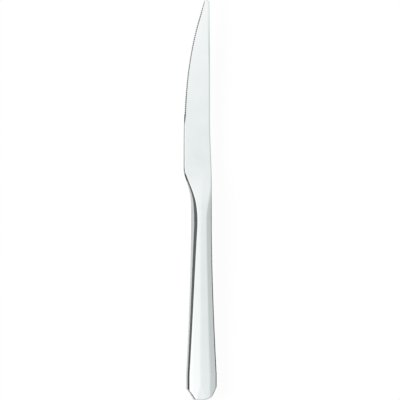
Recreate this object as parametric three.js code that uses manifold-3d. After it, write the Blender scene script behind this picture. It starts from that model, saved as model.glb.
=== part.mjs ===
// Dessert knife: a forged blade with a serrated edge, on a hollow faceted steel handle.
// Millimetres and degrees. In the knife's own frame +Y runs from the butt to the tip, +X points to
// the spine and +Z to the front. The origin is on the handle's axis, in the mid-plane, at the butt.

import * as THREE from "three";
import { mergeVertices } from "three/addons/utils/BufferGeometryUtils.js";
import Module from "manifold-3d";

const wasm = await Module();
wasm.setup();

// Handle outline and faces
const handleLength = 94; // butt to the soldered joint at the neck
const buttWidth = 16.4;
const neckWidth = 11.1;
const shoulderDistance = 14; // butt to where the sides start to draw in
const flarePower = 1.6; // 1 is a straight taper, more keeps the neck slim for longer
const buttThickness = 6.6;
const neckThickness = 9;
const ridgeWidth = 1.6; // flat along the middle of the front and back
const faceTilt = 4; // the broad faces fall away from that flat

// Flanks: a steep side and then a bevel, as widths seen from the front
const flankPower = 4; // 1 is an even change along the handle, more keeps the butt's widths for longer
const buttEdgeSideWidth = 0.85; // on the cutting edge's side
const buttEdgeBevelWidth = 1.45;
const buttSpineSideWidth = 0.3;
const buttSpineBevelWidth = 1.75;
const neckEdgeSideWidth = 1.6;
const neckEdgeBevelWidth = 1.87;
const neckSpineSideWidth = 0.3;
const neckSpineBevelWidth = 1.9;
const bevelTilt = 38;
const seamBand = 1; // upright band round the mid-plane, on the cutting edge's side
const buttSpineBand = 2.4; // the same on the spine's side
const neckSpineBand = 1.9;

// Butt end
const endWidth = 7.9;
const cornerLength = 6.4; // the two corner cuts, along the handle
const endTilt = 78; // the end and the corner cuts lean in from the seam
const endFacetLength = 8; // butt to the point of the facet on each face
const endFacetWidth = 4.2;

// Handle construction
const wallThickness = 0.9;
const solderThickness = 0.2;
const fillGap = 0.1;
const spigotLength = 6; // the bolster's plug inside the mouth of the handle
const spigotGap = 0.1;
const tangLength = 38;
const tangThickness = 3;
const tangWidth = 5.2;
const tangEndWidth = 3.6;
const tangNotchRadius = 0.8;
const tangNotchPitch = 9;
const tangNotches = 3; // on each edge

// Bolster: the neck swells out of the blade
const neckLength = 3; // joint to the start of the ramp
const rampLength = 29; // ramp down to the blade's thickness
const flankRampLength = 17.5; // over which the handle's bevels run out
const heelDistance = 28.2; // joint to the heel corner
const choilLength = 12.6; // slanted edge between the neck and the heel
const choilFillet = 1.7;
const heelRound = 0.6;

// Blade
const bladeLength = 92.75; // heel corner to tip
const edgeOffset = 9.5; // handle axis to the edge at the heel
const spineOffset = 4.56; // handle axis to the spine
const spineDropLength = 37; // over which the spine steps in from the neck
const tipOffset = 1.95; // handle axis to the tip
const tipFlat = 0.5;
const tipRound = 1.9; // length over which the spine comes down to the tip
const bellyDistance = 7.8; // heel to where the edge starts to curve
const bellyPower = 2.7;
const heelThickness = 1.9; // at the spine
const edgeThickness = 0.8; // at the heel, above the edge bevel
const tipThickness = 1; // at the spine
const edgeBevelTilt = 26.8;
const edgeLand = 0.16; // thickness left at the cutting edge
const spineBevelWidth = 0.3; // the spine's corners are broken by a bevel too
const spineBevelHeight = 0.3;
const bladeSideWidth = 0.1; // outer strip of these bevels, which the handle's sides run into
const mostFlank = 0.7; // share of a narrow section, near the tip, that flanks may take

// Serration, ground from the front
const toothPitch = 1.07;
const toothDepth = 0.45;
const grindAngle = 24.5; // between a groove and the blade's mid-plane
const plainHeelLength = 31.3; // heel to the first tooth
const plainTipLength = 2; // last tooth to the tip

// Steps of the lofts
const handleSteps = 14;
const bolsterSteps = 16;
const rampEndSteps = 2;
const bladeSteps = 22;
const tipSteps = 5;
const grooveSides = 20;

// Places that follow from the sizes
const shoulderY = handleLength + solderThickness;
const rampStartY = shoulderY + neckLength;
const rampEndY = rampStartY + rampLength;
const bladeStartY = rampStartY + flankRampLength;
const heelY = shoulderY + heelDistance;
const tipY = heelY + bladeLength;
const pastButt = -buttThickness / 2; // the handle's loft starts here, and the butt is cut off it
const pastJoint = shoulderY + spigotLength / 2;
const spigotEndY = handleLength - spigotLength;
const tangEndY = spigotEndY - tangLength;

const { degToRad, lerp, smoothstep, clamp } = THREE.MathUtils;
const tan = (degrees) => Math.tan(degToRad(degrees));
const sin = (degrees) => Math.sin(degToRad(degrees));
const cos = (degrees) => Math.cos(degToRad(degrees));

// The lesser of two values, with the corner between them rounded off over a difference of k.
function softMin(a, b, k) {
  const near = Math.max(k - Math.abs(a - b), 0) / k;
  return Math.min(a, b) - (near * near * k) / 4;
}

const softMax = (a, b, k) => -softMin(-a, -b, k);

// Half width of the handle, which flares from the neck to the shoulder and then runs straight.
function handleHalfWidth(y) {
  const toShoulder = clamp((handleLength - y) / (handleLength - shoulderDistance), 0, 1);
  return lerp(neckWidth, buttWidth, toShoulder ** flarePower) / 2;
}

// Edge side of the outline: handle, choil, straight heel, then the belly up to the tip.
function edgeSide(y) {
  if (y < shoulderY) return -handleHalfWidth(y);
  const choil = lerp(neckWidth / 2, edgeOffset, (y - heelY + choilLength) / choilLength);
  const width = softMin(softMax(neckWidth / 2, choil, choilFillet), edgeOffset, heelRound);
  const alongBelly = clamp((y - heelY - bellyDistance) / (bladeLength - bellyDistance), 0, 1);
  return (edgeOffset + tipOffset) * alongBelly ** bellyPower - width;
}

// Spine side of the outline: handle, a shallow step down to the spine, then a rounded tip.
function spineSide(y) {
  if (y < shoulderY) return handleHalfWidth(y);
  const spine = lerp(neckWidth / 2, spineOffset, smoothstep(y, bladeStartY, bladeStartY + spineDropLength));
  const overTip = clamp((y - tipY + tipRound) / tipRound, 0, 1);
  const drop = spineOffset - tipOffset - tipFlat;
  return spine - drop * (1 - Math.sqrt(1 - overTip * overTip));
}

// How much of the handle's form is left at y, 1 on the handle and 0 on the blade, and of its bevels.
const swell = (y) => 1 - smoothstep(y, rampStartY, rampEndY);
const flankSwell = (y) => 1 - smoothstep(y, rampStartY, bladeStartY);

const handleHalfThickness = (y) => lerp(buttThickness, neckThickness, y / handleLength) / 2;

// Half the blade's thickness: a flat grind, thinner towards the edge and towards the tip.
function grindHeight(x, y) {
  const acrossBlade = (spineOffset - x) / (spineOffset + edgeOffset);
  const alongBlade = (y - heelY) / bladeLength;
  return (lerp(heelThickness, edgeThickness, acrossBlade) - (heelThickness - tipThickness) * alongBlade) / 2;
}

// Height of the front face above the mid-plane: a ridged roof on the handle, a flat grind on the blade.
function faceHeight(x, y) {
  const roof = handleHalfThickness(y) - tan(faceTilt) * Math.max(Math.abs(x) - ridgeWidth / 2, 0);
  return lerp(grindHeight(x, y), roof, swell(y));
}

// Front half of the section at y, from the edge side to the spine side, as [x, z] pairs.
function frontPoints(y) {
  const edge = edgeSide(y);
  const spine = spineSide(y);
  const along = clamp(y / handleLength, 0, 1) ** flankPower;
  const plainBevel = (grindHeight(edge, y) - edgeLand / 2) / tan(edgeBevelTilt) - bladeSideWidth;
  const edgeBevel = lerp(buttEdgeBevelWidth, neckEdgeBevelWidth, along);
  const spineBevel = lerp(buttSpineBevelWidth, neckSpineBevelWidth, along);
  const flanks = {
    edgeSide: lerp(bladeSideWidth, lerp(buttEdgeSideWidth, neckEdgeSideWidth, along), swell(y)),
    edgeBevel: lerp(plainBevel, edgeBevel, flankSwell(y)),
    spineSide: lerp(bladeSideWidth, lerp(buttSpineSideWidth, neckSpineSideWidth, along), flankSwell(y)),
    spineBevel: lerp(spineBevelWidth, spineBevel, flankSwell(y)),
  };
  const taken = flanks.edgeSide + flanks.edgeBevel + flanks.spineSide + flanks.spineBevel;
  const room = Math.min(1, (mostFlank * (spine - edge)) / taken);
  for (const flank in flanks) flanks[flank] *= room;

  const edgeCrease = edge + flanks.edgeSide + flanks.edgeBevel;
  const spineCrease = spine - flanks.spineSide - flanks.spineBevel;
  const edgeTop = faceHeight(edgeCrease, y);
  const spineTop = faceHeight(spineCrease, y);
  const edgeFoot = lerp(edgeLand, seamBand, swell(y)) / 2;
  const spineBand = lerp(buttSpineBand, neckSpineBand, along);
  const spineFoot = lerp(spineTop - spineBevelHeight, spineBand / 2, swell(y));
  const bevelDrop = (height, side, bevel) => bevel * Math.min(height / (side + bevel), tan(bevelTilt));
  const edgeDrop = bevelDrop(edgeTop - edgeFoot, flanks.edgeSide, flanks.edgeBevel);
  const spineDrop = bevelDrop(spineTop - spineFoot, flanks.spineSide, flanks.spineBevel);
  const ridgeStart = lerp(lerp(edgeCrease, spineCrease, 1 / 3), -ridgeWidth / 2, swell(y));
  const ridgeEnd = lerp(lerp(edgeCrease, spineCrease, 2 / 3), ridgeWidth / 2, swell(y));
  return [
    [edge, edgeFoot],
    [edge + flanks.edgeSide, edgeTop - edgeDrop],
    [edgeCrease, edgeTop],
    [ridgeStart, faceHeight(ridgeStart, y)],
    [ridgeEnd, faceHeight(ridgeEnd, y)],
    [spineCrease, spineTop],
    [spine - flanks.spineSide, spineTop - spineDrop],
    [spine, spineFoot],
  ];
}

// Whole section at y, moved inwards by inset square to each of its sides.
function section(y, inset = 0) {
  const front = frontPoints(y);
  const back = front.map(([x, z]) => [x, -z]);
  const ring = [...back, ...front.reverse()];
  return ring.map(([x, z], i) => {
    const [xBefore, zBefore] = ring.at(i - 1);
    const [xAfter, zAfter] = ring[(i + 1) % ring.length];
    const before = new THREE.Vector2(zBefore - z, x - xBefore).normalize();
    const after = new THREE.Vector2(z - zAfter, xAfter - x).normalize();
    const move = before.clone().add(after).multiplyScalar(inset / (1 + before.dot(after)));
    return new THREE.Vector3(x + move.x, y, z + move.y);
  });
}

// Closed loft through sections that have the same number of points.
function loft(rings) {
  const count = rings[0].length;
  const triangles = [];
  for (let r = 0; r < rings.length - 1; r++) {
    for (let i = 0; i < count; i++) {
      const a = r * count + i;
      const b = r * count + ((i + 1) % count);
      triangles.push(a, a + count, b + count, a, b + count, b);
    }
  }
  const last = (rings.length - 1) * count;
  for (let i = 1; i < count - 1; i++) {
    triangles.push(0, i, i + 1, last, last + i + 1, last + i);
  }
  const geometry = new THREE.BufferGeometry().setFromPoints(rings.flat());
  geometry.setIndex(triangles);
  return geometry;
}

// Values from start to end in equal steps, both ends included.
const steps = (start, end, count) => Array.from({ length: count + 1 }, (_, i) => lerp(start, end, i / count));

// Solid made of a closed geometry, after its place is applied.
function solid(geometry, matrix = new THREE.Matrix4()) {
  const bare = geometry.clone().applyMatrix4(matrix);
  bare.deleteAttribute("normal");
  bare.deleteAttribute("uv");
  const merged = mergeVertices(bare);
  const vertProperties = new Float32Array(merged.attributes.position.array);
  const triVerts = new Uint32Array(merged.index.array);
  return new wasm.Manifold(new wasm.Mesh({ numProp: 3, vertProperties, triVerts }));
}

// Box that takes away everything beyond a plane, which is given by a point and its outward normal.
function beyond(point, normal) {
  const size = 4 * handleLength;
  const turn = new THREE.Quaternion().setFromUnitVectors(new THREE.Vector3(0, 0, 1), normal);
  const place = new THREE.Vector3().copy(point).addScaledVector(normal, size / 2);
  const matrix = new THREE.Matrix4().compose(place, turn, new THREE.Vector3(1, 1, 1));
  return solid(new THREE.BoxGeometry(size, size, size), matrix);
}

// Planes that shape the butt: corner cuts and end, each upright at the seam and tilted on both faces,
// and a shallow facet on each face that starts from a point on the ridge.
function buttPlanes() {
  const planes = [];
  const up = new THREE.Vector3(0, 0, 1);
  const outs = [new THREE.Vector3(0, -1, 0)];
  for (const hand of [-1, 1]) {
    outs.push(new THREE.Vector3(hand * cornerLength, (endWidth - buttWidth) / 2, 0).normalize());
  }
  for (const out of outs) {
    const corner = Math.sign(out.x) * (endWidth / 2);
    planes.push({ point: new THREE.Vector3(corner, 0, 0), normal: out });
    for (const face of [-1, 1]) {
      const normal = out.clone().multiplyScalar(sin(endTilt)).addScaledVector(up, face * cos(endTilt));
      planes.push({ point: new THREE.Vector3(corner, 0, (face * seamBand) / 2), normal });
    }
  }
  const ridgeHeight = handleHalfThickness(endFacetLength);
  const fall = ridgeHeight - faceHeight(endFacetWidth / 2, 0);
  for (const face of [-1, 1]) {
    const normal = new THREE.Vector3(0, -fall, face * endFacetLength).normalize();
    planes.push({ point: new THREE.Vector3(0, endFacetLength, face * ridgeHeight), normal });
  }
  return planes;
}

// Handle form from the butt to endY, moved inwards by inset on all sides but that end.
function handleForm(inset, endY) {
  const rings = steps(pastButt, endY, handleSteps).map((y) => section(y, inset));
  let form = solid(loft(rings));
  for (const { point, normal } of buttPlanes()) {
    form = form.subtract(beyond(point.clone().addScaledVector(normal, -inset), normal));
  }
  return form;
}

// Tang with half-round notches in both edges, made larger all round by grow.
function tang(grow) {
  const top = spigotEndY + spigotLength / 2;
  const end = tangEndY - grow;
  const shape = new THREE.Shape();
  const halfWidth = (y) => lerp(tangWidth, tangEndWidth, (spigotEndY - y) / tangLength) / 2;
  const notchRadius = tangNotchRadius - grow;
  const notchYs = steps(1, tangNotches, tangNotches - 1).map((n) => spigotEndY - n * tangNotchPitch);
  const quarter = Math.PI / 2;
  shape.moveTo(halfWidth(top) + grow, top);
  shape.lineTo(-halfWidth(top) - grow, top);
  for (const y of notchYs) {
    shape.absarc(-halfWidth(y) - grow, y, notchRadius, quarter, -quarter, true);
  }
  shape.lineTo(-halfWidth(end) - grow, end);
  shape.lineTo(halfWidth(end) + grow, end);
  for (const y of notchYs.reverse()) {
    shape.absarc(halfWidth(y) + grow, y, notchRadius, -quarter, -3 * quarter, true);
  }
  const depth = tangThickness + 2 * grow;
  const bar = new THREE.ExtrudeGeometry(shape, { depth, bevelEnabled: false, curveSegments: 4 });
  return solid(bar, new THREE.Matrix4().makeTranslation(0, 0, -depth / 2));
}

// Grooves that a form wheel cuts up the front face, side by side, so that points stay between them.
function grooves() {
  const sag = toothDepth * sin(grindAngle);
  const radius = ((toothPitch / 2) ** 2 + sag * sag) / (2 * sag);
  const length = 8 * toothDepth;
  const wheel = new THREE.CylinderGeometry(radius, radius, length, grooveSides);
  const ys = steps(heelY + plainHeelLength, tipY - plainTipLength, bladeSteps);
  const edge = new THREE.SplineCurve(ys.map((y) => new THREE.Vector2(edgeSide(y), y)));
  const edgeLength = edge.getLength();
  const teeth = Math.floor(edgeLength / toothPitch);
  const cuts = [];
  for (let tooth = 0; tooth < teeth; tooth++) {
    const along = ((tooth + 0.5) * toothPitch) / edgeLength;
    const point = edge.getPointAt(along);
    const tangent = edge.getTangentAt(along);
    const inwards = new THREE.Vector3(tangent.y, -tangent.x, 0);
    const groove = inwards.clone().multiplyScalar(cos(grindAngle)).setZ(sin(grindAngle));
    const out = inwards.clone().multiplyScalar(-sin(grindAngle)).setZ(cos(grindAngle));
    const across = new THREE.Vector3().crossVectors(groove, out);
    const place = new THREE.Vector3(point.x, point.y, -edgeLand / 2);
    place.addScaledVector(inwards, toothDepth).addScaledVector(out, radius);
    cuts.push(solid(wheel, new THREE.Matrix4().makeBasis(across, groove, out).setPosition(place)));
  }
  return cuts;
}

// Blade, bolster, spigot and tang are one forging.
function bladeForm() {
  const ys = [
    ...steps(shoulderY, heelY, bolsterSteps),
    ...steps(heelY, rampEndY, rampEndSteps).slice(1),
    ...steps(rampEndY, tipY - tipRound, bladeSteps).slice(1),
    ...steps(tipY - tipRound, tipY, tipSteps).slice(1),
  ];
  let form = solid(loft(ys.map((y) => section(y))));
  for (const cut of grooves()) form = form.subtract(cut);
  const spigotInset = wallThickness + spigotGap;
  const spigot = solid(loft([spigotEndY, handleLength, pastJoint].map((y) => section(y, spigotInset))));
  return form.add(spigot).add(tang(0));
}

const polishedSteel = { color: 0xdfe3e2, metalness: 1, roughness: 0.15 };
const silverSolder = { color: 0xd6d8d2, metalness: 1, roughness: 0.25 };
const cement = { color: 0x9a948a, metalness: 0, roughness: 0.9 };

const knife = new THREE.Group();

function addPiece(name, form, finish) {
  const { vertProperties, triVerts } = form.getMesh();
  const geometry = new THREE.BufferGeometry();
  geometry.setAttribute("position", new THREE.BufferAttribute(new Float32Array(vertProperties), 3));
  geometry.setIndex(new THREE.BufferAttribute(new Uint32Array(triVerts), 1));
  const piece = new THREE.Mesh(geometry, new THREE.MeshStandardMaterial(finish));
  piece.name = name;
  knife.add(piece);
}

// The two pressed halves and the line of solder between them are slices of one hollow form.
const cavity = handleForm(wallThickness, pastJoint);
const shell = handleForm(0, handleLength).subtract(cavity);
const front = new THREE.Vector3(0, 0, 1);
const back = new THREE.Vector3(0, 0, -1);
const aboveSeam = beyond(new THREE.Vector3(0, 0, solderThickness / 2), front);
const belowSeam = beyond(new THREE.Vector3(0, 0, -solderThickness / 2), back);

const neckRing = solid(loft([handleLength, shoulderY].map((y) => section(y)))).subtract(cavity);
const core = handleForm(wallThickness + fillGap, spigotEndY - fillGap).subtract(tang(fillGap));

addPiece("blade", bladeForm(), polishedSteel);
addPiece("handle_front_shell", shell.intersect(aboveSeam), polishedSteel);
addPiece("handle_back_shell", shell.intersect(belowSeam), polishedSteel);
addPiece("seam_solder", shell.subtract(aboveSeam).subtract(belowSeam), silverSolder);
addPiece("neck_solder_ring", neckRing, silverSolder);
addPiece("handle_filler", core, cement);

// The knife lies on the ridge of its back, which the thicker neck tips by the handle's taper.
// The origin is under the middle of its length and width, on the surface that it lies on.
knife.rotation.x = Math.atan((neckThickness - buttThickness) / 2 / handleLength);
const box = new THREE.Box3().setFromObject(knife, true);
knife.position.set(-(box.min.x + box.max.x) / 2, -(box.min.y + box.max.y) / 2, -box.min.z);

export default knife;
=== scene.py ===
# %% [markdown]
# # A dessert knife in polished steel
# The knife is a forged, serrated blade whose bolster runs into a hollow, faceted handle. All the joints are
# ground flush and polished over, so the eye meets one sweep of bright steel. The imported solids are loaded
# first, as a fixed frame, and each piece that shows is then remade in the same place as a finer surface.
# The solids could stay and be shaded smooth, but polished steel mirrors the room, and in a mirror each
# flat of a coarse mesh shows.

import bpy
import numpy as np
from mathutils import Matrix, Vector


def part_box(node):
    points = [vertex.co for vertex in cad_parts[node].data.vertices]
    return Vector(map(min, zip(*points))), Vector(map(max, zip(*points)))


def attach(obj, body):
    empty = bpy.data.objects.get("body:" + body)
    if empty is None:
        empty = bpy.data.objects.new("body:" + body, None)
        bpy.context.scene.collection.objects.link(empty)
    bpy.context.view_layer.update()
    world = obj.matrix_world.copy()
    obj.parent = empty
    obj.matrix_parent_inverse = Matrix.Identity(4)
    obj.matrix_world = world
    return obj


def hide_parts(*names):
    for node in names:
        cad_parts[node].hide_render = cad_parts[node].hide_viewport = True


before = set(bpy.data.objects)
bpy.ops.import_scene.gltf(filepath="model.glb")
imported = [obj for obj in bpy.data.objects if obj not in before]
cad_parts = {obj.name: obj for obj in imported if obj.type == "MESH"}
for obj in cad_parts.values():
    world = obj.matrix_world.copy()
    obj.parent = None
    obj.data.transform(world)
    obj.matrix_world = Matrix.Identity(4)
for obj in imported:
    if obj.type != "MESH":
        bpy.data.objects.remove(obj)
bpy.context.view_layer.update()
mm_per_metre = 1000
print("solids:", sorted(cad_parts))

# %% [markdown]
# ## Where the knife lies
# Shapes are worked out in millimetres, in the knife's own frame: Y runs from the butt to the tip, X points to
# the spine and Z out of the front. On the table the knife lies on the ridge of its back, and because the neck
# is thicker than the butt that tips it a little. An object could be turned and moved for that, but here one
# function turns the points themselves, so that each finished object stays at the origin.

# %% Place on the table
handle_length = 94.0
solder_thickness = 0.2
butt_thickness = 6.6
neck_thickness = 9.0
lie = np.arctan((neck_thickness - butt_thickness) / 2 / handle_length)
ring_low, ring_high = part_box("neck_solder_ring")
joint_on_table = np.array((ring_low + ring_high) / 2)
joint_on_knife = np.array([0, handle_length + solder_thickness / 2, 0])


def to_table(points):
    """Turn about X by the angle of lie, put the neck's joint where the solids have it, and go to metres."""
    x, y, z = np.moveaxis(points - joint_on_knife, -1, 0)
    along = y * np.cos(lie) - z * np.sin(lie)
    up = y * np.sin(lie) + z * np.cos(lie)
    return joint_on_table + np.stack([x, along, up], axis=-1) / mm_per_metre


print("the knife is tipped by", round(float(np.degrees(lie)), 2), "degrees")

# %% [markdown]
# ## Blends
# A forged and polished piece has no hard corner, and its forms run into each other. Blender could bevel the
# corners afterwards. Here the corner is rounded in the formula itself: soft_min takes the lesser of two
# values and rounds off the corner between them, so a single height gives flat facets and soft creases.

# %% Blend helpers


def mix(a, b, share):
    """a where share is 0, b where it is 1, in a straight line between."""
    return a + (b - a) * share


def ease(y, start, end):
    """0 before start, 1 after end, and 3 t^2 - 2 t^3 between, which is level at both ends."""
    t = np.clip((y - start) / (end - start), 0, 1)
    return t * t * (3 - 2 * t)


def soft_min(a, b, k):
    """min(a, b) less k/4 times the square of near, where near falls from 1 to 0 as |a - b| grows to k."""
    near = np.maximum(k - np.abs(a - b), 0) / k
    return np.minimum(a, b) - near * near * k / 4


def soft_max(a, b, k):
    """The greater of two values, with the corner between them rounded in the same way."""
    return -soft_min(-a, -b, k)


def share_of_second(a, b, k):
    """How much soft_max(a, b, k) follows b: 0 where a is greater by k, 1 where b is, straight between."""
    return 0.5 + 0.5 * np.clip((b - a) / k, -1, 1)


def slope_of(degrees):
    """Rise over run of a plane that leans by an angle."""
    return np.tan(np.radians(degrees))


print("soft_min(0, 0, 1) is", soft_min(0, 0, 1))

# %% [markdown]
# ## The outline
# Seen from the front, the handle flares to a cornered butt. Past the neck the edge side swings out along the
# choil to the heel, runs straight, and then curves up to the tip. The spine steps in a little and stays
# straight. An outline could be a curve with handles, but two functions of Y give any row of points directly,
# and the section that follows is hung between them.

# %% Sizes of the outline
butt_width = 16.4
neck_width = 11.1
shoulder_distance = 14.0
flare_power = 1.6
neck_length = 3.0
ramp_length = 29.0
flank_ramp_length = 17.5
heel_distance = 28.2
choil_length = 12.6
choil_fillet = 1.7
heel_round = 0.6
blade_length = 92.75
edge_offset = 9.5
spine_offset = 4.56
spine_drop_length = 37.0
tip_offset = 1.95
tip_flat = 0.5
tip_round = 1.9
belly_distance = 7.8
belly_power = 2.7
shoulder_y = handle_length + solder_thickness
ramp_start_y = shoulder_y + neck_length
ramp_end_y = ramp_start_y + ramp_length
blade_start_y = ramp_start_y + flank_ramp_length
heel_y = shoulder_y + heel_distance
belly_y = heel_y + belly_distance
tip_y = heel_y + blade_length
print("the tip is", round(tip_y, 2), "mm from the butt")

# %% Outline of the knife


def handle_half_width(y):
    """Half the neck's width, which grows to half the butt's as a power of the way to the shoulder."""
    way = np.clip((handle_length - y) / (handle_length - shoulder_distance), 0, 1)
    return mix(neck_width, butt_width, way**flare_power) / 2


def along_belly(y):
    """0 up to where the edge starts to curve, and 1 at the tip."""
    return np.clip((y - belly_y) / (tip_y - belly_y), 0, 1)


def edge_side(y):
    """X of the edge: the handle's side, the sloping choil, the straight heel and the belly's power curve."""
    choil = mix(neck_width / 2, edge_offset, (y - heel_y + choil_length) / choil_length)
    width = soft_min(soft_max(neck_width / 2, choil, choil_fillet), edge_offset, heel_round)
    blade = (edge_offset + tip_offset) * along_belly(y) ** belly_power - width
    return np.where(y < shoulder_y, -handle_half_width(y), blade)


def spine_side(y):
    """X of the spine: the handle's side, an eased step to a straight line, then a quarter ellipse."""
    step = ease(y, blade_start_y, blade_start_y + spine_drop_length)
    over_tip = np.clip((y - tip_y + tip_round) / tip_round, 0, 1)
    drop = (spine_offset - tip_offset - tip_flat) * (1 - np.sqrt(1 - over_tip**2))
    blade = mix(neck_width / 2, spine_offset, step) - drop
    return np.where(y < shoulder_y, handle_half_width(y), blade)


for name, y in {"shoulder": shoulder_distance, "neck": handle_length, "heel": heel_y, "tip": tip_y}.items():
    print(name, "is", round(float(spine_side(y) - edge_side(y)), 2), "mm wide")

# %% [markdown]
# ## The faces
# The broad faces of the handle fall away by 4 degrees from a rounded ridge. On the bolster the ridge moves a
# little towards the spine, and the faces run down to the flat grind of the blade. So little tilt hardly shows
# as shape, yet it turns the reflection by twice as much, and that is why one half of the handle looks white
# and the other pale grey.

# %% Height of the broad faces
grip_ridge_round = 0.45
bolster_ridge_round = 1.0
bolster_ridge_shift = 1.0
ridge_shift_ys = (70, 98)
buffed_off = 0.006
face_slope = slope_of(4)
heel_thickness = 1.685
edge_thickness = 0.585
tip_thinning = 1.3
tip_thinning_power = 4
tip_twist = 0.75


def swell(y):
    """How much of the handle's form is left: 1 on the handle, eased to 0 just past the heel."""
    return 1 - ease(y, ramp_start_y, ramp_end_y)


def flank_swell(y):
    """The same for both bevels and the spine's steep side, which run out sooner."""
    return 1 - ease(y, ramp_start_y, blade_start_y)


def half_thickness(y):
    """Half the handle's thickness on the ridge, which tapers in a straight line from neck to butt."""
    return mix(butt_thickness, neck_thickness, y / handle_length) / 2


def grind_height(x, y):
    """Half the blade's thickness: a wedge that is thick at the spine. Towards the tip it thins, as a power of
    the way, and it gets steeper, turned about the middle of the blade's width."""
    twist = 1 + tip_twist * along_belly(y)
    across = 0.5 + twist * ((spine_offset - x) / (spine_offset + edge_offset) - 0.5)
    thinning = tip_thinning * np.clip((y - heel_y) / blade_length, 0, 1) ** tip_thinning_power
    return (mix(heel_thickness, edge_thickness, across) - thinning) / 2


def ridge_line(y):
    """X of the ridge and its rounding: crisp and in the middle on the grip, soft and nearer the spine on the
    bolster."""
    way = ease(y, *ridge_shift_ys)
    return bolster_ridge_shift * way, mix(grip_ridge_round, bolster_ridge_round, way)


def face_height(x, y):
    """A roof on the handle, eased to the wedge of the blade. At the distance d from a ridge of rounding r the
    roof falls as sqrt(d^2 + r^2) - r. Buffing took a little off it, which keeps the knife inside the box of
    its solids."""
    ridge, rounding = ridge_line(y)
    roof = half_thickness(y) - buffed_off - face_slope * (np.hypot(x - ridge, rounding) - rounding)
    return mix(grind_height(x, y), roof, swell(y))


print("middle of the neck:", round(float(face_height(0, handle_length)), 2), "mm above the mid-plane")

# %% [markdown]
# ## The flanks
# Between a broad face and the seam there are two more facets: a bevel and a steep side. They are what gives
# the handle its dark line, because the bevel mirrors a dark gap low in the studio while its neighbours mirror
# bright things. Each facet is a plane that rises from the outline, and the section is the lowest of them all.
# Creases are tighter at the neck and were buffed rounder towards the butt.

# %% Widths of the flanks
flank_power = 4.0
butt_widths = [0.7, 1.45, 0.5, 1.55]
neck_widths = [1.6, 1.87, 0.38, 1.67]
plain_heel_length = 31.2
teeth_start_y = heel_y + plain_heel_length
edge_land = 0.1
edge_bevel_tilt = 26.8
heel_bevel_gain = 1.7
choil_bevel_gain = 0.38
choil_bevel_ys = (heel_y - 1, heel_y + 2.5)
blade_side_width = 0.1
spine_bevel_widths = [0.3, 0.75]
near_tip_ys = (172, 196)
most_flank = 0.7


def to_neck(y):
    """0 at the butt and 1 at the neck, as a power of the way."""
    return np.clip(y / handle_length, 0, 1) ** flank_power


def near_tip(y):
    """0 on the lower blade, eased to 1 towards the tip."""
    return ease(y, *near_tip_ys)


def flank_widths(y):
    """Plan widths of the edge's side and bevel, then the spine's, narrowed where the blade is narrow. On the
    blade the edge's bevel takes up the thickness of the grind. On the bolster the handle's widths run out."""
    from_teeth = np.clip((teeth_start_y - y) / (teeth_start_y - heel_y), 0, 1)
    edge_bevel_slope = slope_of(edge_bevel_tilt + heel_bevel_gain * from_teeth**2)
    edge_bevel = (grind_height(edge_side(y), y) - edge_land / 2) / edge_bevel_slope - blade_side_width
    edge_bevel = edge_bevel + choil_bevel_gain * (1 - ease(y, *choil_bevel_ys))
    spine_bevel = mix(*spine_bevel_widths, near_tip(y))
    on_blade = [blade_side_width, edge_bevel, blade_side_width, spine_bevel]
    on_handle = [mix(butt, neck, to_neck(y)) for butt, neck in zip(butt_widths, neck_widths)]
    kept = [swell(y), flank_swell(y), flank_swell(y), flank_swell(y)]
    widths = np.stack([mix(*widths) for widths in zip(on_blade, on_handle, kept)])
    room = most_flank * (spine_side(y) - edge_side(y)) / widths.sum(axis=0)
    return widths * np.minimum(room, 1)


print("flanks at the neck:", flank_widths(np.float64(handle_length)).round(2), "mm")

# %% Planes of a flank
bevel_slope_on_handle = slope_of(38)
wall_slope = 28.0
side_rounds = (0.03, 0.14)
wall_rounds = (0.03, 0.2)


def cut_flank(z, y, depth, side, bevel, top, foot, crease_round, inset):
    """The lowest of z and three planes over the depth from the outline: a bevel, a steep side and a
    near-upright wall. Lowered by inset times the length of (1, slope), a plane moves inwards by inset.
    Each pair of roundings is for the blade and the handle."""
    drop = np.minimum((top - foot) * bevel / (side + bevel), bevel * bevel_slope_on_handle)
    bevel_slope = drop / bevel
    side_slope = (top - drop - foot) / side
    bevel_plane = top + bevel_slope * (depth - side - bevel) - inset * np.hypot(1, bevel_slope)
    side_plane = foot + side_slope * depth - inset * np.hypot(1, side_slope)
    wall = wall_slope * (depth - inset)
    z = soft_min(z, bevel_plane, crease_round)
    z = soft_min(z, side_plane, mix(*side_rounds, swell(y)))
    return soft_min(z, wall, mix(*wall_rounds, swell(y)))


print("a wall rises", wall_slope, "mm for each mm of depth")

# %% [markdown]
# ## The butt
# The butt is cut off square, with its two corners cut away at a slant, and all three cuts lean in a little. A
# shallow facet starts from a point on the ridge and meets the end. On the edge side the corner is crisp and
# has a plane of its own. On the spine side the end turns into the corner softly, so the two are one cut,
# whose depth is measured from a rounded line.

# %% Outline of the butt
edge_corner_start = 4.15
edge_corner_slope = 1.54
edge_corner_round = 0.3
spine_corner_start = 5.1
spine_corner_slope = 2.3
spine_corner_round = 1.4
end_curve = 0.075
end_curve_start = 0.8


def end_line(x, inset=0.0):
    """Y and slope at x of the butt's end, and the share of the spine's corner there. The end curves up
    towards the spine as a square and turns softly into the corner."""
    curved = np.maximum(x - end_curve_start, 0)
    lean = 2 * end_curve * curved
    end = end_curve * curved**2 + inset * np.hypot(1, lean)
    corner = spine_corner_slope * (x - spine_corner_start) + inset * np.hypot(1, spine_corner_slope)
    share = share_of_second(end, corner, spine_corner_round)
    return soft_max(corner, end, spine_corner_round), mix(lean, spine_corner_slope, share), share


def edge_corner_line(x, inset=0.0):
    """Y at x of the slanted corner on the edge side."""
    return edge_corner_slope * (-x - edge_corner_start) + inset * np.hypot(1, edge_corner_slope)


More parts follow.
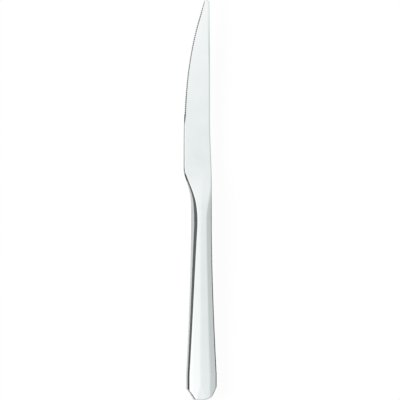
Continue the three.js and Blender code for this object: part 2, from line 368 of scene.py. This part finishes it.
def butt_outline(x, inset=0.0):
    """Y of the butt's outline at x, the greater of the end and the edge's corner, and its slope there."""
    end, end_slope, _ = end_line(x, inset)
    corner = edge_corner_line(x, inset)
    share = share_of_second(end, corner, edge_corner_round)
    return soft_max(corner, end, edge_corner_round), mix(end_slope, edge_corner_slope, share)


print("the middle of the butt's end is at y =", round(float(butt_outline(np.float64(0))[0]), 2))

# %% Cuts at the butt
end_facet_length = 8.0
end_facet_width = 5.0
end_cut = [slope_of(78), 0.9, 2.4]
spine_corner_cut = [slope_of(78), 0.9, 1.95]
edge_corner_cut = [slope_of(70), 0.72, 2.02]
seam_band = 1.0
facet_round = 0.02
buffed_round = 0.2
cut_round = 0.3
butt_wall_round = 0.2


def cut_butt(z, x, y, inset):
    """The lowest of z, the shallow end facet, the leaning cuts with a buffed corner over each, and a wall at
    the foot. A cut gives its slope, then the slope and the height of its buffed corner."""
    point = half_thickness(end_facet_length)
    fall = point - face_height(end_facet_width / 2, 0.0)
    facet = point + fall * (y / end_facet_length - 1) - inset
    z = soft_min(z, facet, facet_round)
    end, slope, share = end_line(x)
    end_depth = (y - end) / np.hypot(1, slope)
    end_values = [mix(*values, share) for values in zip(end_cut, spine_corner_cut)]
    corner_depth = (y - edge_corner_line(x)) / np.hypot(1, edge_corner_slope)
    for depth, values in [(end_depth, end_values), (corner_depth, edge_corner_cut)]:
        cut_slope, buffed_slope, buffed_height = values
        buffed = buffed_height + buffed_slope * depth - inset * np.hypot(1, buffed_slope)
        cut = seam_band / 2 + cut_slope * depth - inset * np.hypot(1, cut_slope)
        z = soft_min(soft_min(z, buffed, buffed_round), cut, cut_round)
    outline, slope = butt_outline(x)
    wall = wall_slope * ((y - outline) / np.hypot(1, slope) - inset)
    return soft_min(z, wall, butt_wall_round)


print("the facet on the butt is", end_facet_length, "mm long")

# %% [markdown]
# ## The whole front
# Broad face, flanks and butt now come together in one height over the mid-plane, and the back is its mirror
# image. They could be modelled one by one and joined with booleans, but a lowest height needs no joining,
# and the same function, moved inwards, also gives the inside of the handle.

# %% Height of the front
blade_crease_round = 0.04
edge_crease_rounds = [0.95, 0.15]
spine_crease_rounds = [1.5, 0.75]
buffed_length = 70.0
plain_edge_lift = 0.4
plain_edge_fade = 7.0
spine_foot_height = 0.35
spine_bevel_heights = [0.3, 0.14, 0.05]
spine_point_ys = (192, tip_y - 2)
tip_plane_round = 0.2


def flank_crease_round(y, on_handle):
    """Rounding of the crease over a flank: tight on the blade. On the handle it goes from the first value, at
    the butt, to the second, on the way to the neck."""
    return mix(blade_crease_round, mix(*on_handle, ease(y, 0, buffed_length)), swell(y))


def front_height(x, y, inset=0.0):
    """Height of the front over the mid-plane: broad face, flanks and butt cuts, all moved inwards by inset.
    Where the teeth start, the plain edge's bevel is lifted out of their way."""
    edge = edge_side(y)
    spine = spine_side(y)
    edge_side_width, edge_bevel, side, bevel = flank_widths(y)
    lift = plain_edge_lift * ease(y, teeth_start_y - plain_edge_fade, teeth_start_y)
    edge_top = face_height(edge + edge_side_width + edge_bevel, y) + lift
    edge_foot = mix(edge_land, seam_band, swell(y)) / 2 + lift
    edge_round = flank_crease_round(y, edge_crease_rounds)
    spine_top = face_height(spine - side - bevel, y)
    low, upper, tip = spine_bevel_heights
    spine_bevel_height = mix(mix(low, upper, near_tip(y)), tip, ease(y, *spine_point_ys))
    spine_foot = mix(spine_top - spine_bevel_height, spine_foot_height, swell(y))
    spine_round = flank_crease_round(y, spine_crease_rounds)
    z = face_height(x, y) - inset
    z = cut_flank(z, y, x - edge, edge_side_width, edge_bevel, edge_top, edge_foot, edge_round, inset)
    z = cut_flank(z, y, spine - x, side, bevel, spine_top, spine_foot, spine_round, inset)
    tip_plane = edge_land / 2 + tip_y - y
    return soft_min(cut_butt(z, x, y, inset), tip_plane, tip_plane_round)


facet_middle = np.full(1, end_facet_length / 2)
print("height in the middle of the butt's facet:", front_height(np.zeros(1), facet_middle).round(2), "mm")

# %% [markdown]
# ## Rows and columns
# Each surface is a grid. Its columns run along the knife and keep to the creases, with many of them close to
# a crease, where the surface turns, and few on a flat facet, where nothing happens. A mesh that is fine all
# over would look the same, but it would be many times as heavy.

# %% Columns across a section
crease_inset_share = 0.35
side_inset_share = 0.75
ridge_reach = 0.9
nearest_column = 0.004


def key_lines(y, inset=0.0):
    """X of the outline, the creases and both sides of the ridge, from edge to spine, for a column of y. Moved
    inwards, the lines between the facets go in by a share of inset."""
    edge = edge_side(y)
    spine = spine_side(y)
    edge_side_width, edge_bevel, side, bevel = flank_widths(y)
    edge_crease = edge + edge_side_width + edge_bevel + crease_inset_share * inset
    spine_crease = spine - side - bevel - crease_inset_share * inset
    ridge = ridge_line(y)[0]
    return [
        edge + inset,
        edge + edge_side_width + side_inset_share * inset,
        edge_crease,
        mix(mix(edge_crease, spine_crease, 1 / 3), ridge - ridge_reach, swell(y)),
        mix(mix(edge_crease, spine_crease, 2 / 3), ridge + ridge_reach, swell(y)),
        spine_crease,
        spine - side - side_inset_share * inset,
        spine - inset,
    ]


def lay_columns(keys, count, hem):
    """Columns between the key lines, count to each span: crowded towards creases by a cosine, and towards the
    outline, which is drawn in by hem, by equal ratios."""
    steps = np.arange(1, count + 1) / count
    crowded = 0.5 - 0.5 * np.cos(np.pi * steps)
    ratios = np.geomspace(nearest_column, 1, count)
    spans = [ratios, crowded, crowded, steps, crowded, crowded, 1 - np.append(ratios[-2::-1], 0)]
    keys = [keys[0] + hem, *keys[1:-1], keys[-1] - hem]
    laid = [keys[0]]
    for start, end, shares in zip(keys, keys[1:], spans):
        laid.append(start + (end - start) * shares)
    return np.concatenate(laid, axis=1)


key_spans = len(key_lines(np.full((1, 1), handle_length))) - 1
print("a section has", key_spans, "spans between its key lines")

# %% [markdown]
# ## From arrays to a mesh
# A grid of points becomes a mesh by its indices alone: each square joins a point to the next in its row and
# to the two above. Loops over vertices in Python are slow and hard to read, so the squares are cut from one
# table of numbers. Where two squares meet at more than 30 degrees the edge is marked sharp, and the rest is
# shaded smooth.

# %% Mesh helpers
sharp_angle = np.radians(30)


def squares(table):
    """One square for each cell of a table of vertex numbers, turned the way its rows and columns turn."""
    corners = [table[:-1, :-1], table[:-1, 1:], table[1:, 1:], table[1:, :-1]]
    return np.stack(corners, axis=-1).reshape(-1, 4)


def make_piece(name, points, faces, node, slot):
    """A mesh object of the points, in mm on the knife, that stands for a solid, which is hidden, and rides on
    the body root.
    """
    mesh = bpy.data.meshes.new(name)
    mesh.from_pydata(to_table(points).tolist(), [], faces.tolist())
    mesh.shade_smooth()
    mesh.set_sharp_from_angle(angle=sharp_angle)
    mesh.validate()
    piece = bpy.data.objects.new(name, mesh)
    bpy.context.scene.collection.objects.link(piece)
    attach(piece, "root")
    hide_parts(node)
    print(name, "has", len(mesh.vertices), "vertices and", len(mesh.polygons), "faces")
    return piece


print("a table of 3 by 4 points has", len(squares(np.arange(12).reshape(3, 4))), "squares")

# %% [markdown]
# ## The two halves of the handle
# Each half is pressed from sheet steel 0.9 mm thick. Its outer wall and its inner wall are the same formula,
# the inner one moved inwards by the thickness of the sheet, and a rim joins them all round. Rows crowd at the
# butt, where they bend with the outline, and are straight from the shoulder on. A Solidify modifier would
# also give a wall, but it folds over itself inside tight corners.

# %% Rows of the handle
wall_thickness = 0.9
handle_columns = 20
seam_half = solder_thickness / 2
hem = seam_half / wall_slope
cuts_reach = 1.6
rim_rows = np.geomspace(0.004, 0.25, 8)
cut_rows = np.arange(0.3, cuts_reach, 0.06)
butt_rows = np.linspace(cuts_reach, shoulder_distance, 44)
grip_rows = np.linspace(shoulder_distance, handle_length, 58)[1:]
row_ways = np.concatenate([[hem], hem + rim_rows, cut_rows, butt_rows, grip_rows])
print("the handle has", len(row_ways), "rows")

# %% Walls of the handle
spread_length = 2


def handle_wall(inset):
    """Grid of one half of the handle, from the butt's outline to the mouth, as (rows, columns, 3). A row
    bends with the outline at the butt, where slanted stretches are spread, and is straight past the
    shoulder."""
    way = row_ways[:, None]
    x = lay_columns(key_lines(way, inset), handle_columns, hem)
    outline, slope = butt_outline(x, inset)
    spread = way * (np.hypot(1, slope) - 1) / (1 + (way / spread_length) ** 2)
    y = way + np.clip(1 - way / shoulder_distance, 0, 1) * (outline + spread)
    z = np.maximum(front_height(x, y, inset), seam_half)
    return np.stack([x, y, z], axis=-1)


outer_wall = handle_wall(0.0)
inner_wall = handle_wall(wall_thickness)
print("one wall has", outer_wall.shape[0], "rows of", outer_wall.shape[1], "points")

# %% Halves of the handle


def round_rim(table):
    """Vertex numbers along the four sides of a table, once round, back to the first."""
    return np.concatenate([table[0, :-1], table[:-1, -1], table[-1, :0:-1], table[::-1, 0]])


def handle_half(name, node, front):
    """Outer wall, inner wall and the rim between them. The back half is the front one mirrored in Z."""
    points = np.concatenate([outer_wall.reshape(-1, 3), inner_wall.reshape(-1, 3)])
    outer = np.arange(len(points) // 2).reshape(outer_wall.shape[:2])
    inner = outer + outer.size
    rim = squares(np.stack([round_rim(inner), round_rim(outer)]))
    faces = np.concatenate([squares(outer), squares(inner)[:, ::-1], rim])
    if not front:
        points = points * [1, 1, -1]
        faces = faces[:, ::-1]
    return make_piece(name, points, faces, node, "polished_handle_steel")


handle_front = handle_half("handle_front", "handle_front_shell", True)
handle_back = handle_half("handle_back", "handle_back_shell", False)

# %% [markdown]
# ## The solder
# Silver solder joins the two halves, and a ring of it joins the handle to the bolster. Both joints are ground
# flush, so they are thin closed strips between walls that are already there: the seam follows the rims of the
# two halves, and the ring is the section of the neck, 0.2 mm long. Each is lofted, which means that a ring of
# points is carried along a path and neighbouring rings are joined.

# %% Loft helper


def loft(rings, closed=False):
    """Points and faces of a loft through rings, given as (rings, points, 3). Unless the path is closed, both
    ends are capped by squares between the first half of the ring and its second half."""
    count, size = rings.shape[:2]
    table = np.arange(count * size).reshape(count, size)
    path = np.concatenate([table, table[:1]]) if closed else table
    faces = squares(np.concatenate([path, path[:, :1]], axis=1))
    if not closed:
        half = size // 2
        caps = [np.stack([end[:half], end[:half - 1:-1]]) for end in (table[0], table[-1])]
        faces = np.concatenate([faces, squares(caps[0])[:, ::-1], squares(caps[1])])
    return rings.reshape(-1, 3), faces


print("a loft through two rings of 4 points has", len(loft(np.zeros((2, 4, 3)))[1]), "faces")

# %% Solder in the seam


def seam_path(wall):
    """The edge of a wall along the seam: down the edge side, round the butt and up the spine side."""
    return np.concatenate([wall[::-1, 0], wall[0, 1:], wall[1:, -1]])


strands = [seam_path(wall) for wall in (outer_wall, outer_wall, inner_wall, inner_wall)]
seam_rings = np.stack(strands, axis=1)
seam_rings[:, :, 2] = seam_half * np.array([1, -1, -1, 1])
seam = make_piece("seam_solder_line", *loft(seam_rings), "seam_solder", "silver_solder")

# %% Ring of solder at the neck


def full_ring(x, y, front, back):
    """Closed rings of points: over the front from edge to spine, and back under the back."""
    y = np.broadcast_to(y, x.shape)
    over = np.stack([x, y, np.broadcast_to(front, x.shape)], axis=-1)
    under = np.stack([x, y, np.broadcast_to(back, x.shape)], axis=-1)
    return np.concatenate([over, under[:, ::-1]], axis=1)


def section_rings(y, inset, count):
    """Rings at the given y, moved inwards by inset, with count columns between key lines."""
    y = np.array(y)[:, None]
    x = lay_columns(key_lines(y, inset), count, hem)
    z = front_height(x, y, inset)
    return full_ring(x, y, z, -z)


ring_ends = [shoulder_y, handle_length]
neck_outside = section_rings(ring_ends, 0.0, handle_columns)
neck_inside = section_rings(ring_ends, wall_thickness, handle_columns)
neck_strands = np.stack([*neck_outside, *neck_inside[::-1]], axis=1)
neck_loft = loft(neck_strands, closed=True)
neck_ring = make_piece("neck_solder_band", *neck_loft, "neck_solder_ring", "silver_solder")

# %% [markdown]
# ## Tang and plug
# The blade is forged in one with the bolster, with a plug that fills the mouth of the handle and with a
# notched tang that the cement grips. None of that shows, but it belongs to the piece, and it costs only a few
# rings: rectangles that narrow at the notches, and then two sections of the neck, moved inwards.

# %% Rings of the tang and plug
blade_columns = 8
ring_half = key_spans * blade_columns + 1
plug_length = 6.0
plug_gap = 0.1
tang_length = 38.0
tang_width = 5.2
tang_end_width = 3.6
tang_half_thickness = 1.5
notch_radius = 0.8
notch_pitch = 9.0
notches = 3
plug_end_y = handle_length - plug_length
notch_ys = plug_end_y - notch_pitch * np.arange(1, notches + 1)


def tang_rings():
    """Rectangles of tapering half width, less the chord sqrt(r^2 - d^2) at the distance d from the middle of
    a half-round notch."""
    arcs = notch_ys[:, None] + notch_radius * np.cos(np.linspace(0, np.pi, 9))
    y = np.sort(np.concatenate([[plug_end_y - tang_length, plug_end_y], arcs.ravel()]))
    half = mix(tang_width, tang_end_width, (plug_end_y - y) / tang_length) / 2
    distance = np.abs(y[:, None] - notch_ys).min(axis=1)
    half = half - np.sqrt(np.maximum(notch_radius**2 - distance**2, 0))
    x = half[:, None] * np.linspace(-1, 1, ring_half)
    return full_ring(x, y[:, None], tang_half_thickness, -tang_half_thickness)


plug_rings = section_rings([plug_end_y, shoulder_y], wall_thickness + plug_gap, blade_columns)
hidden_rings = np.concatenate([tang_rings(), plug_rings])
print("tang and plug take", len(hidden_rings), "rings")

# %% [markdown]
# ## The serration
# The toothed edge is ground from the front alone: a flat bevel of 31 degrees runs down to the back, and a row
# of round gaps is cut into it, so that short teeth stay between them. Subtracting 56 cylinders would do the
# same. But a gap is also just a row that starts deeper in, and the bevel a plane over the row, so the front
# is the lower of face and plane. Rows run square to the edge, ten to a tooth, and both ends of a gap are on a
# row.

# %% Places of the teeth
tooth_pitch = 1.07
plain_tip_length = 2.0


def edge_lean(y):
    """Slope dx/dy of the belly, the derivative of its power curve."""
    rate = (edge_offset + tip_offset) * belly_power * along_belly(y) ** (belly_power - 1)
    return rate / (tip_y - belly_y)


arc_ys = np.linspace(belly_y, tip_y, 4001)
arc_steps = np.hypot(1, edge_lean((arc_ys[1:] + arc_ys[:-1]) / 2)) * np.diff(arc_ys)
arc = np.append(0, np.cumsum(arc_steps))
teeth_start, plain_tip_start = np.interp([teeth_start_y, tip_y - plain_tip_length], arc_ys, arc)
teeth = int((plain_tip_start - teeth_start) / tooth_pitch)
teeth_end = teeth_start + teeth * tooth_pitch
print(teeth, "teeth,", tooth_pitch, "mm apart")

# %% Rows of the blade
gap_half_width = 0.34
in_gap = np.array([0.35, 0.7, 0.93, 1])
in_tooth = tooth_pitch / 2 + gap_half_width * np.concatenate([-in_gap[::-1], [0], in_gap])
tooth_starts = teeth_start + tooth_pitch * np.arange(teeth)
tooth_arcs = (tooth_starts[:, None] + np.append(0, in_tooth)).ravel()
beside_teeth = np.array([0.03, 0.08, 0.13, 0.18])
toothed_arcs = [*teeth_start - beside_teeth[::-1], *tooth_arcs, teeth_end, *teeth_end + beside_teeth]
toothed_rows = np.interp(toothed_arcs, arc, arc_ys)
bolster_end_y = heel_y + 3
bolster_step = 0.35
plain_step = 1.0
least_step = 0.2
bolster_rows = np.arange(shoulder_y, bolster_end_y, bolster_step)
plain_rows = np.arange(bolster_end_y + least_step, toothed_rows[0] - least_step, plain_step)
to_tip = 1 - np.linspace(1, 0, 15)[1:] ** 2
tip_rows = mix(toothed_rows[-1], tip_y, to_tip)
blade_ys = np.concatenate([bolster_rows, plain_rows, toothed_rows, tip_rows])
print("the blade has", len(blade_ys), "rows")

# %% Depth of a gap
tooth_depth = 0.53
upper_tooth_depth = 0.46
upper_teeth_ys = (160, 180)
run_out_length = 8.0
tip_tooth_share = 0.3


def gap_depth(y):
    """How far in the gap goes on the row that starts at y: a half ellipse, sqrt(1 - (d/w)^2) of the full
    depth at the distance d from the middle of a gap of half width w. Towards the tip the gaps get
    shallower."""
    along = np.interp(y, arc_ys, arc) - teeth_start
    middle = (np.floor(along / tooth_pitch) + 0.5) * tooth_pitch
    round_share = np.sqrt(np.maximum(1 - ((along - middle) / gap_half_width) ** 2, 0))
    depth = mix(tooth_depth, upper_tooth_depth, ease(y, *upper_teeth_ys))
    depth = depth * mix(1, tip_tooth_share, ease(y, tip_y - run_out_length, tip_y - plain_tip_length))
    return np.where((along > 0) & (along < teeth * tooth_pitch), depth * round_share, 0)


first_gap_y = np.interp(teeth_start + tooth_pitch / 2, arc, arc_ys)
print("the first gap is", round(float(gap_depth(first_gap_y)), 2), "mm deep")

# %% Rings of the blade
edge_left = 0.02
tooth_slope = slope_of(31)
run_in_length = 8.5
run_in_rise = 0.066
run_out_rise = 0.05
upper_rise = 0.1
back_depth = 0.05
widest_foot = 0.6
widest_bevel = 2
line_on_bevel = 0.4


def first_depth(rule, low, high):
    """The depth at which a rule turns from negative to positive, by halving the span between low and high."""
    for _ in range(30):
        middle = (low + high) / 2
        past = rule(middle) > 0
        low, high = np.where(past, low, middle), np.where(past, middle, high)
    return high


def blade_rings(y):
    """Rings whose rows start on the edge at y, or in a gap, and run square to the edge over to the spine.
    Front and back have the same height, and the bevel is taken off the front. It runs in before the first
    tooth, and out towards the tip."""
    y = y[:, None]
    lean = np.arctan(edge_lean(y)) * np.clip((tip_y - y) / plain_tip_length, 0, 1)
    edge = edge_side(y)

    def place(depth):
        """X and Y at a depth from the edge."""
        return edge + np.cos(lean) * depth, y - np.sin(lean) * depth

    before = np.maximum(teeth_start_y - y, 0)
    after = np.maximum(y - tip_y + run_out_length, 0)
    rise = run_in_rise * before + upper_rise * ease(y, *upper_teeth_ys) + run_out_rise * after
    back = front_height(*place(back_depth))

    def ground(depth):
        """Height of the bevel at a depth, and no bevel before it runs in."""
        bevel = tooth_slope * (depth + rise) - back + edge_left
        return np.where(before < run_in_length, bevel, np.inf)

    length = spine_side(y) - edge
    for _ in range(20):
        length = (spine_side(place(length)[1]) - edge) / np.cos(lean)
    share = length / (spine_side(y) - edge)
    keys = [(key - edge) * share for key in key_lines(y)]

    start = gap_depth(y)
    foot = first_depth(lambda d: ground(d) + front_height(*place(d)) - edge_left, start, start + widest_foot)
    crest = first_depth(lambda d: ground(d) - front_height(*place(d)), foot, foot + widest_bevel)
    toothed = crest > keys[2]
    keys[0] = np.where(toothed, foot, keys[0])
    keys[1] = np.where(toothed, mix(foot, crest, line_on_bevel), keys[1])
    keys[2] = np.where(toothed, crest, keys[2])
    depth = lay_columns(keys, blade_columns, edge_left / wall_slope)
    front = ground(depth)
    x, y = place(depth)
    height = front_height(x, y)
    return full_ring(x, y, np.minimum(height, front), -height)


knife_rings = np.concatenate([hidden_rings, blade_rings(blade_ys)])
blade = make_piece("serrated_blade", *loft(knife_rings), "blade", "polished_blade_steel")

# %% [markdown]
# ## Colours and nodes
# A colour is written as people read it, as sRGB hex, and one function turns it to the linear values that
# shaders use. Another small function adds a node, sets it up and links its inputs, so that a material below
# reads as a list of what each node does.

# %% Colour and node helpers


def colour(code):
    """Linear RGBA of an sRGB hex code: c/12.92 for dark values, ((c + 0.055)/1.055)^2.4 for the rest."""
    shades = np.array([int(code[i:i + 2], 16) for i in (1, 3, 5)]) / 255
    linear = np.where(shades <= 0.04045, shades / 12.92, ((shades + 0.055) / 1.055) ** 2.4)
    return (*linear.tolist(), 1.0)


def add_node(tree, kind, inputs=(), **settings):
    """Add a node, apply its settings, and set each input to a value or link it to an output."""
    node = tree.nodes.new(kind)
    for name, value in settings.items():
        setattr(node, name, value)
    for socket, value in dict(inputs).items():
        if isinstance(value, bpy.types.NodeSocket):
            tree.links.new(value, node.inputs[socket])
        else:
            node.inputs[socket].default_value = value
    return node


def add_tint(tree, share, shades):
    """A ramp from the first shade to the second, and its colour."""
    ramp = add_node(tree, "ShaderNodeValToRGB", {"Fac": share})
    for element, shade in zip(ramp.color_ramp.elements, shades):
        element.color = colour(shade)
    return ramp.outputs["Color"]


def mix_shaders(tree, share, first, second):
    """A node that shows the first shader where share is 0 and the second where it is 1."""
    inputs = {0: share, 1: first.outputs[0], 2: second.outputs[0]}
    return add_node(tree, "ShaderNodeMixShader", inputs)


def new_tree(name):
    """A new material with an empty node tree, and that tree."""
    material = bpy.data.materials.new(name)
    material.use_nodes = True
    material.node_tree.nodes.clear()
    return material, material.node_tree


print("steel in linear RGB:", [round(c, 3) for c in colour("#E3EAE8")])

# %% [markdown]
# ## Polished steel
# Cutlery is stainless steel, ground, then buffed on cloth wheels until it mirrors. What is left for the eye
# is a cool white metal with a slight blur, faint lines in the direction of the last wheel, and haze where it
# was buffed less. The handle was buffed lengthwise and the blade across, towards the edge. The lines are
# about 0.05 mm apart on the real thing. Here they are drawn 0.4 mm apart, as coarse as they need to be to
# show.

# %% Buffed stainless steel
MM = 1 / mm_per_metre
haze_size = 9
line_depth = 0.05


def buffed_steel(name, shades, line_spacing, rough):
    """Metal whose tint and roughness drift with haze, and whose normal follows buffing lines. The spacing of
    the lines is given along X, Y and Z in mm, and it is long in the direction of the wheel."""
    material, tree = new_tree(name)
    place = add_node(tree, "ShaderNodeTexCoord").outputs["Object"]
    per_metre = tuple(1 / (size * MM) for size in line_spacing)
    stretched = add_node(tree, "ShaderNodeMapping", {"Vector": place, "Scale": per_metre}).outputs["Vector"]
    lines = add_node(tree, "ShaderNodeTexNoise", {"Vector": stretched, "Scale": 1.0, "Detail": 3.0})
    haze_scale = 1 / (haze_size * MM)
    haze = add_node(tree, "ShaderNodeTexNoise", {"Vector": place, "Scale": haze_scale, "Detail": 4.0})
    tint = add_tint(tree, haze.outputs["Fac"], shades)
    rough_range = {
        "Value": haze.outputs["Fac"],
        "From Min": 0.3,
        "From Max": 0.7,
        "To Min": rough[0],
        "To Max": rough[1],
    }
    blur = add_node(tree, "ShaderNodeMapRange", rough_range)
    relief = {"Height": lines.outputs["Fac"], "Strength": 0.05, "Distance": line_depth * MM}
    bump = add_node(tree, "ShaderNodeBump", relief)
    surface = {
        "Base Color": tint,
        "Metallic": 1.0,
        "Roughness": blur.outputs["Result"],
        "Normal": bump.outputs["Normal"],
    }
    shader = add_node(tree, "ShaderNodeBsdfPrincipled", surface)
    add_node(tree, "ShaderNodeOutputMaterial", {"Surface": shader.outputs["BSDF"]})
    return material


across_blade = (8, 0.4, 8)
along_handle = (0.4, 12, 0.4)
steel_shades = ("#E0E6E6", "#E5EBEA")
solder_shades = ("#DEE6E3", "#E5EBE8")
blade_steel = buffed_steel("buffed_stainless_blade", steel_shades, across_blade, (0.1, 0.16))
handle_steel = buffed_steel("buffed_stainless_handle", steel_shades, along_handle, (0.08, 0.14))
solder_metal = buffed_steel("silver_solder_buffed_over", solder_shades, along_handle, (0.1, 0.16))
finishes = {
    blade: blade_steel,
    handle_front: handle_steel,
    handle_back: handle_steel,
    seam: solder_metal,
    neck_ring: solder_metal,
}
for piece, finish in finishes.items():
    piece.data.materials.append(finish)
print("finishes:", blade_steel.name, handle_steel.name, solder_metal.name)

# %% [markdown]
# ## Cement in the handle
# The core that holds the tang is a resin-bound sand cement, cast in and never seen again. Its solid is right
# as it is, so it stays and gets a material: matt, grey-brown, with grains of about 0.4 mm.

# %% Cast cement
grain_size = 0.4
grain_height = 0.1
cement, tree = new_tree("cast_sand_cement")
place = add_node(tree, "ShaderNodeTexCoord").outputs["Object"]
grain_scale = 1 / (grain_size * MM)
grains = add_node(tree, "ShaderNodeTexNoise", {"Vector": place, "Scale": grain_scale, "Detail": 2.0})
grain_tint = add_tint(tree, grains.outputs["Fac"], ("#7D756A", "#B4AB9D"))
grain_relief = {"Height": grains.outputs["Fac"], "Strength": 0.5, "Distance": grain_height * MM}
grain_bump = add_node(tree, "ShaderNodeBump", grain_relief)
matt = {"Base Color": grain_tint, "Roughness": 0.9, "Normal": grain_bump.outputs["Normal"]}
matt_shader = add_node(tree, "ShaderNodeBsdfPrincipled", matt)
add_node(tree, "ShaderNodeOutputMaterial", {"Surface": matt_shader.outputs["BSDF"]})
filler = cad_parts["handle_filler"]
filler.data.materials.clear()
filler.data.materials.append(cement)
print("cement on", filler.name)

# %% [markdown]
# ## The studio
# Polished steel has hardly any look of its own: it shows the room. The room here is a plain white studio. A
# wide soft source hangs overhead, a little to the left and brighter towards the tip, the right side is
# dimmer, and low on the left there is a dark gap. Panels could stand round the knife to make that, but they
# would be in the way of other views, so it is written into the world, where only reflections see it. The
# camera sees plain white, and what is matt gets a weak white light.

# %% World
scene = bpy.context.scene
scene.view_settings.view_transform = "Standard"
world = bpy.data.worlds.new("white_studio")
scene.world = world
world.use_nodes = True
tree = world.node_tree
tree.nodes.clear()
direction = add_node(tree, "ShaderNodeTexCoord").outputs["Generated"]
axes = add_node(tree, "ShaderNodeSeparateXYZ", {"Vector": direction}).outputs


def brightness(axis, stops):
    """Colour by the angle from overhead towards an axis, in degrees, straight between the stops."""
    angle = add_node(tree, "ShaderNodeMath", {0: axes[axis], 1: axes["Z"]}, operation="ARCTAN2").outputs[0]
    reach = {"Value": angle, "From Min": -np.pi / 2, "From Max": np.pi / 2}
    way = add_node(tree, "ShaderNodeMapRange", reach).outputs[0]
    ramp = add_node(tree, "ShaderNodeValToRGB", {"Fac": way})
    elements = ramp.color_ramp.elements
    while len(elements) < len(stops):
        elements.new(1.0)
    for element, (degrees, level) in zip(elements, stops.items()):
        element.position = 0.5 + degrees / 180
        element.color = (*np.broadcast_to(level, 3).tolist(), 1)
    return ramp.outputs["Color"]


print("world:", world.name)

# %% Light that the steel mirrors
brightest = 1.3
white_panel = np.array([1.3, 1.235, 1.24])
sideways = {
    -90: 0.2, -76: 0.15, -64: 0.06, -59: 0.06, -51: white_panel, -20: white_panel, -8: 0.965 * white_panel,
    -7: 1.13, -6: 1.06, -5.2: 1.03, -4.5: 1.015, -2: 1.03, 3: 1.035, 8: 1.0, 12: 0.95, 16: 0.89, 22: 0.79,
    30: 0.72, 60: 0.69, 76: 0.66, 90: 0.64,
}
lengthways = {
    -90: 0.75, -45: 0.95, -14: 1.08, -8.5: 1.045, -6.6: 0.985, -4: 0.985, 0: 0.985, 2: 0.995, 5: 1.01,
    8: 1.01, 11: 0.995, 15: 0.995, 19: 1.02, 22: 1.035, 60: 0.97, 90: 0.9,
}
# A Mix node takes its factor at socket 0 and its two colours at 6 and 7, and gives the colour at 2.
both = {
    6: brightness("X", {angle: level / brightest for angle, level in sideways.items()}),
    7: brightness("Y", lengthways),
    0: 1.0,
}
room = add_node(tree, "ShaderNodeMix", both, data_type="RGBA", blend_type="MULTIPLY")
studio = add_node(tree, "ShaderNodeBackground", {"Color": room.outputs[2], "Strength": brightest})
fill = add_node(tree, "ShaderNodeBackground", {"Color": colour("#FFFFFF"), "Strength": 0.1})
white = add_node(tree, "ShaderNodeBackground", {"Color": colour("#FFFFFF"), "Strength": 1.0})
rays = add_node(tree, "ShaderNodeLightPath").outputs
lighting = mix_shaders(tree, rays["Is Glossy Ray"], fill, studio)
shown = mix_shaders(tree, rays["Is Camera Ray"], lighting, white)
add_node(tree, "ShaderNodeOutputWorld", {"Surface": shown.outputs[0]})
print("stops sideways:", len(sideways), "and lengthways:", len(lengthways))

# %% [markdown]
# ## Floor and lamp
# The knife lies on white board that runs on past the picture. To the camera most of the board's white is its
# own, so that it stays as white as the paper of a catalogue, and the rest is lit, which keeps a faint shadow.
# A soft lamp from the left throws that shadow to the right.

# %% Floor
floor_half = 3.0
own_white_share = 0.95
corners = floor_half * np.array([[-1, -1, 0], [1, -1, 0], [1, 1, 0], [-1, 1, 0]])
floor_mesh = bpy.data.meshes.new("white_board")
floor_mesh.from_pydata(corners.tolist(), [], [[0, 1, 2, 3]])
floor = bpy.data.objects.new("white_board", floor_mesh)
scene.collection.objects.link(floor)
board, tree = new_tree("matt_white_board")
lit = add_node(tree, "ShaderNodeBsdfDiffuse", {"Color": colour("#EDEDED")})
own_white = add_node(tree, "ShaderNodeEmission", {"Color": colour("#FFFFFF"), "Strength": 1.02})
to_camera = add_node(tree, "ShaderNodeLightPath").outputs["Is Camera Ray"]
own_share = add_node(tree, "ShaderNodeMath", {0: to_camera, 1: own_white_share}, operation="MULTIPLY")
seen = mix_shaders(tree, own_share.outputs[0], lit, own_white)
add_node(tree, "ShaderNodeOutputMaterial", {"Surface": seen.outputs[0]})
floor_mesh.materials.append(board)
print("floor:", 2 * floor_half, "m square")

# %% Lamp
lamp_light = bpy.data.lights.new("soft_lamp", "SUN")
lamp_light.energy = 4.8
lamp_light.angle = np.radians(30)
lamp = bpy.data.objects.new("soft_lamp", lamp_light)
lamp.rotation_euler = (0.0, np.radians(-60), 0.0)
lamp.visible_glossy = False
scene.collection.objects.link(lamp)
print("lamp:", lamp_light.energy, "W per square metre")

# %% [markdown]
# ## The camera
# The catalogue picture looks straight down with a long lens. The frame is 215 mm square on the knife, so the
# lens follows from the distance: focal length over sensor width is distance over frame width.

# %% Camera
frame_width = 215 * MM
distance = 1.0
aim_x = -0.1 * MM
aim_y = 0.045 * MM
aim_height = 4.5 * MM
lens = bpy.data.cameras.new("long_lens")
lens.lens = lens.sensor_width * distance / frame_width
lens.clip_end = 100
camera = bpy.data.objects.new("camera", lens)
camera.location = (aim_x, aim_y, aim_height + distance)
scene.collection.objects.link(camera)
scene.camera = camera
print("lens:", round(lens.lens, 1), "mm")
